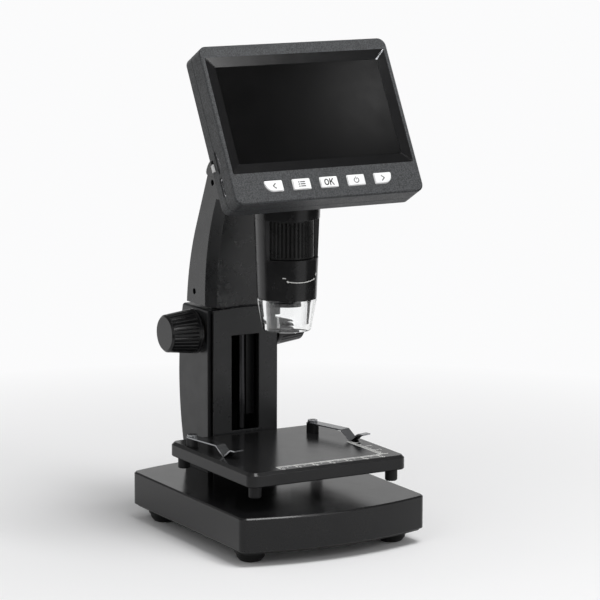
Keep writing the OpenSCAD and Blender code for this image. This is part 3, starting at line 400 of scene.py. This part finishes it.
CORNERS = [(-1, -1), (1, -1), (1, 1), (-1, 1)]
# the one corner whose joint gets the bright foil, a painted highlight; the other three joints are
# gloss black like the strips
PAINTED_HIGHLIGHT_CORNER = (1, 1)
for side, c0, c1 in zip(("bottom", "right", "top", "left"), CORNERS, CORNERS[1:] + CORNERS[:1]):
    rim_strip("display_frame_" + side, c0, c1)
for i, corner in enumerate(CORNERS):
    rim_joint("display_joint_%d" % (i + 1), *corner,
              painted_highlight_foil if corner == PAINTED_HIGHLIGHT_CORNER else rim_gloss)

# ---------------------------------------------------------------- signs on the buttons

# millimetres in the housing's own frame: the buttons' middles and their face
BUTTON_X = {"back": -32.0, "menu": -15.9, "ok": 0.2, "power": 16.3, "next": 32.4}
BUTTON_UP = -40.15
BUTTON_FACE = 1.6
# widths of the strokes
BOLD, FINE, LETTER = 0.55, 0.42, 0.6
ROUND_STEPS = 18


def on_button(x0):
    return lambda u, v, h: on_screen(x0 + u, BUTTON_UP + v, BUTTON_FACE + h)


letter_o = [(-1.55 + u * 0.82, v * 1.15) for u, v in arc(0, 0, 1.3, 0, 360, ROUND_STEPS)]
signs = {
    "back": stroke([(0.9, 1.35), (-0.6, 0), (0.9, -1.35)], BOLD),
    "next": stroke([(-0.9, 1.35), (0.6, 0), (-0.9, -1.35)], BOLD),
    "menu": [quad for v in (-1.15, 0, 1.15) for ends in ((-0.6, 1.9), (-1.85, -1.3))
             for quad in stroke([(u, v) for u in ends], BOLD)],
    "power": stroke(arc(0, -0.1, 1.35, 125, 415, ROUND_STEPS), FINE)
    + stroke([(0, 0.3), (0, 1.65)], FINE),
    "ok": stroke(letter_o, LETTER) + stroke([(0.5, -1.75), (0.5, 1.75)], LETTER)
    + stroke([(2.35, 1.75), (0.6, -0.2)], LETTER) + stroke([(1.2, 0.4), (2.5, -1.75)], LETTER),
}
for key, quads in signs.items():
    printed("mark_" + key, quads, print_grey, "key_" + key, on_button(BUTTON_X[key]))

# ---------------------------------------------------------------- ruler on the stage

# millimetres: the stage's face; the ruler's ends, its front line and its side line's back end
STAGE = 47.5
LEFT, RIGHT, FRONT, BACK = -27.5, 35.4, -48.5, -14.0
# how far the front line runs past the first tick and past the side line
OVERRUN = 0.2
ACROSS_TICKS, DEEP_TICKS = 63, 35
CM = 10
CM_TICK, HALF_TICK, MM_TICK = 4.8, 3.6, 2.4
LINE_WIDTH, CM_WIDTH, MM_WIDTH, DIGIT_WIDTH = 0.5, 0.55, 0.34, 0.32
# the digits' grid, and where they stand from the ruler's lines
DIGIT_X, DIGIT_Y = 1.1, 0.9
DIGIT_RIGHT, DIGIT_BELOW, DIGIT_BESIDE = 0.9, 4.5, 5.5
# digits 0 to 6 as polylines, one unit wide and two high
DIGITS = [
    [[(0, 0), (1, 0), (1, 2), (0, 2), (0, 0)]],
    [[(0.2, 1.6), (0.6, 2), (0.6, 0)]],
    [[(0, 2), (1, 2), (1, 1), (0, 1), (0, 0), (1, 0)]],
    [[(0, 2), (1, 2), (1, 0), (0, 0)], [(0.2, 1), (1, 1)]],
    [[(0, 2), (0, 1), (1, 1)], [(1, 2), (1, 0)]],
    [[(1, 2), (0, 2), (0, 1), (1, 1), (1, 0), (0, 0)]],
    [[(1, 2), (0, 2), (0, 0), (1, 0), (1, 1), (0, 1)]],
]


def on_stage(u, v, h):
    return Vector((u / MM, v / MM, (STAGE + h) / MM))


def tick(i):
    """Length and width of tick i."""
    if i % 10 == 0:
        return CM_TICK, CM_WIDTH
    return HALF_TICK if i % 5 == 0 else MM_TICK, MM_WIDTH


def digit(k, x, y):
    """The digit k with its lower left corner at (x, y)."""
    return [quad for line in DIGITS[k] for quad in
            stroke([(x + u * DIGIT_X, y + v * DIGIT_Y) for u, v in line], DIGIT_WIDTH)]


ruler = stroke([(LEFT, FRONT), (RIGHT + OVERRUN, FRONT)], LINE_WIDTH)
ruler += stroke([(RIGHT, FRONT), (RIGHT, BACK)], LINE_WIDTH)
for i in range(ACROSS_TICKS):
    x = LEFT + OVERRUN + i
    length, width = tick(i)
    ruler += stroke([(x, FRONT), (x, FRONT - length)], width)
for i in range(DEEP_TICKS):
    y = FRONT + i
    length, width = tick(i)
    ruler += stroke([(RIGHT, y), (RIGHT + length, y)], width)
for k in range(0, 7):
    ruler += digit(k, LEFT + k * CM + DIGIT_RIGHT, FRONT - DIGIT_BELOW - 2 * DIGIT_Y)
for k in range(1, 4):
    ruler += digit(k, RIGHT + DIGIT_BESIDE, FRONT + k * CM - DIGIT_Y)
printed("stage_ruler", ruler, print_white, "base", on_stage)

# ---------------------------------------------------------------- mark on the barrel

# millimetres: the barrel's axis; its cone, from a height and radius on, gets wider as it rises
AXIS_Y = -10.8
CONE_Z, CONE_R = 128.5, 15.75
CONE_RISE, CONE_WIDER = 49, 1.85
MARK_LIFT = 0.02
# the radius at the mark
MARK_R = 16.2
# the double arrow's height in its middle, and how much higher it is this many degrees aside
ARROW_Z, ARROW_RISE, ARROW_HALF = 138.7, 0.8, 29.0
ARROW_WIDTH, SIGN_WIDTH = 0.45, 0.5


def on_barrel(u, v, h):
    """u in degrees to the right of the front, v in millimetres of height."""
    r = CONE_R + CONE_WIDER * (v - CONE_Z) / CONE_RISE + MARK_LIFT + h
    a = math.radians(u)
    return Vector((r * math.sin(a) / MM, (AXIS_Y - r * math.cos(a)) / MM, v / MM))


def deg_stroke(points, width):
    """A stroke whose u runs in degrees: scaled so that widths stay true."""
    k = MARK_R * math.pi / 180
    return [[(x / k, y) for x, y in q] for q in stroke([(u * k, v) for u, v in points], width)]


def arrow_z(u):
    return ARROW_Z + ARROW_RISE * (u / ARROW_HALF) ** 2


def arrow_head(u, way):
    """A triangle at u degrees that points to the left (way = -1) or to the right (way = 1)."""
    tail = u - way * 0.8
    return [(u + way * 3.2, arrow_z(u + way * 3)),
            (tail, arrow_z(u) + 0.75), (tail, arrow_z(u) - 0.75)]


double_arrow = deg_stroke([(u, arrow_z(u)) for u in range(-27, 32, 3)], ARROW_WIDTH)
double_arrow += [arrow_head(-27.3, -1), arrow_head(31.5, 1)]
minus = deg_stroke([(-37.0, 141.3), (-31.5, 141.2)], SIGN_WIDTH)
plus = deg_stroke([(37.0, 141.9), (41.5, 141.9)], SIGN_WIDTH)
plus += deg_stroke([(39.2, 141.2), (39.2, 142.6)], SIGN_WIDTH)
printed("barrel_mark", double_arrow + minus + plus, print_white, "carriage", on_barrel)

# ---------------------------------------------------------------- floor

FLOOR_HALF = 6
# metres from the middle, between which the lit floor fades to the glow of the background
FADE_START, FADE_END = 0.13, 0.47
FLOOR_GLOW = (0.965, 0.965, 0.97)
# the floor's tone as it is seen, and the darker one of the light that it throws back
FLOOR_SEEN = (0.87, 0.87, 0.875)
FLOOR_BOUNCE = (0.30, 0.30, 0.30)


def seen_directly(nt):
    """1 for rays that look at the background: straight, mirrored or through glass."""
    lp = nt.nodes.new("ShaderNodeLightPath")
    total = lp.outputs["Is Camera Ray"]
    for other in ("Is Glossy Ray", "Is Transmission Ray"):
        total = combine(nt, "MAXIMUM", total, lp.outputs[other])
    return total


def floor_mat():
    m, nt, b = new_mat("floor_white")
    nt.links.new(mix_rgb(nt, seen_directly(nt), FLOOR_BOUNCE, FLOOR_SEEN), b.inputs["Base Color"])
    b.inputs["Roughness"].default_value = 0.6
    b.inputs["Specular IOR Level"].default_value = 0.0
    glow = nt.nodes.new("ShaderNodeEmission")
    glow.inputs["Color"].default_value = (*FLOOR_GLOW, 1)
    place = nt.nodes.new("ShaderNodeTexCoord")
    away = nt.nodes.new("ShaderNodeVectorMath")
    away.operation = "LENGTH"
    nt.links.new(place.outputs["Object"], away.inputs[0])
    far = combine(nt, "MULTIPLY", remap(nt, away.outputs["Value"], 0, 1, FADE_START, FADE_END),
                  seen_directly(nt))
    mix = nt.nodes.new("ShaderNodeMixShader")
    nt.links.new(far, mix.inputs[0])
    nt.links.new(b.outputs[0], mix.inputs[1])
    nt.links.new(glow.outputs[0], mix.inputs[2])
    out = [n for n in nt.nodes if n.type == "OUTPUT_MATERIAL"][0]
    nt.links.new(mix.outputs[0], out.inputs[0])
    return m


bm = bmesh.new()
bmesh.ops.create_grid(bm, x_segments=2, y_segments=2, size=FLOOR_HALF)
floor = to_object("floor", bm, floor_mat())

# ---------------------------------------------------------------- lights, cloths and sky

# the point that the lights face
MIDDLE = (0, 0, 0.12)


def area(name, azimuth, elevation, distance, size, power, target=MIDDLE):
    """A soft square light; azimuth in degrees to the right of the object's front, elevation in
    degrees above the floor."""
    az, el = math.radians(azimuth), math.radians(elevation)
    way = Vector((math.sin(az) * math.cos(el), -math.cos(az) * math.cos(el), math.sin(el)))
    li = bpy.data.lights.new(name, "AREA")
    li.shape = "SQUARE"
    li.size = size
    li.energy = power
    o = bpy.data.objects.new(name, li)
    bpy.context.scene.collection.objects.link(o)
    o.location = Vector(target) + way * distance
    o.rotation_euler = (-way).to_track_quat("-Z", "Y").to_euler()


area("key_right", 14, 66, 1.4, 0.6, 12.0)
area("top_soft", 0, 88, 1.6, 1.5, 3.0)
area("front_soft", 20, 28, 1.4, 0.38, 3.0)
area("front_left_fill", -62, 36, 1.5, 0.8, 2.3)
# a weak small lamp over the display's upper right, for the sheen that the display has there
area("display_glow", 39, 39, 0.5, 0.05, 0.085, target=on_screen(70, 45, 0))

# metres: the cloths' near edge on both sides, their far edge, and their height over the floor
CLOTH_NEAR, CLOTH_FAR = 0.36, 2.6
CLOTH_Z = 0.0004
CLOTH_STEPS = 12


def dark_cloth(name, az0, az1, near=CLOTH_NEAR):
    """A black cloth on the floor beside the picture: a sector around the object, which gives the
    glossy black parts something dark to mirror. It is seen in mirrors and through glass only."""
    bm = bmesh.new()
    rows = []
    for i in range(CLOTH_STEPS + 1):
        a = math.radians(az0 + (az1 - az0) * i / CLOTH_STEPS)
        rows.append([bm.verts.new((r * math.sin(a), -r * math.cos(a), CLOTH_Z))
                     for r in (near, CLOTH_FAR)])
    for (near0, far0), (near1, far1) in zip(rows, rows[1:]):
        bm.faces.new([near0, near1, far1, far0])
    bmesh.ops.recalc_face_normals(bm, faces=bm.faces[:])
    black = plastic(name + "_black", (0.015, 0.015, 0.015), 0.9, spec=0.1, bevel=0.0, edge=0.0)
    o = to_object(name, bm, black)
    o.visible_camera = o.visible_diffuse = o.visible_shadow = False


dark_cloth("cloth_left", -118, 6)
dark_cloth("cloth_right", 46, 112)
dark_cloth("cloth_front", 6, 46, near=1.0)

# the sky's brightness: near the horizon as the floor's glow, greyer above
HORIZON, ZENITH = 0.967, 0.24
# the heights of the view, 0 level and 1 straight up, between which it changes
HORIZON_Z, ZENITH_Z = 0.12, 0.42

world = bpy.data.worlds.new("studio")
bpy.context.scene.world = world
world.use_nodes = True
nt = world.node_tree
nt.nodes.clear()
out = nt.nodes.new("ShaderNodeOutputWorld")
tc = nt.nodes.new("ShaderNodeTexCoord")
sep = nt.nodes.new("ShaderNodeSeparateXYZ")
nt.links.new(tc.outputs["Generated"], sep.inputs[0])
sky = nt.nodes.new("ShaderNodeBackground")
sky.inputs["Color"].default_value = (1, 1, 1, 1)
nt.links.new(remap(nt, sep.outputs["Z"], HORIZON, ZENITH, HORIZON_Z, ZENITH_Z),
             sky.inputs["Strength"])
nt.links.new(sky.outputs[0], out.inputs[0])

# ---------------------------------------------------------------- camera

# the camera's place in metres and its directions, fitted to straight edges and corners of the photo
CAMERA = Vector((-0.7946099762, -1.41625827258, 0.41174593681))
CAMERA_RIGHT = Vector((0.86862232, -0.49546634, 0.00289463))
CAMERA_UP = Vector((0.08355208, 0.15223203, 0.98480681))
CAMERA_WAY = Vector((0.48837928, 0.85518332, -0.17362938))

cam_data = bpy.data.cameras.new("camera")
cam_data.sensor_width = 36.0
cam_data.lens = 186.72
cam_data.clip_end = 20
cam = bpy.data.objects.new("camera", cam_data)
bpy.context.scene.collection.objects.link(cam)
turn = Matrix((CAMERA_RIGHT, CAMERA_UP, -CAMERA_WAY)).transposed()
cam.matrix_world = Matrix.Translation(CAMERA) @ turn.to_4x4()
bpy.context.scene.camera = cam

scene = bpy.context.scene
scene.view_settings.view_transform = "Standard"
scene.view_settings.look = "None"
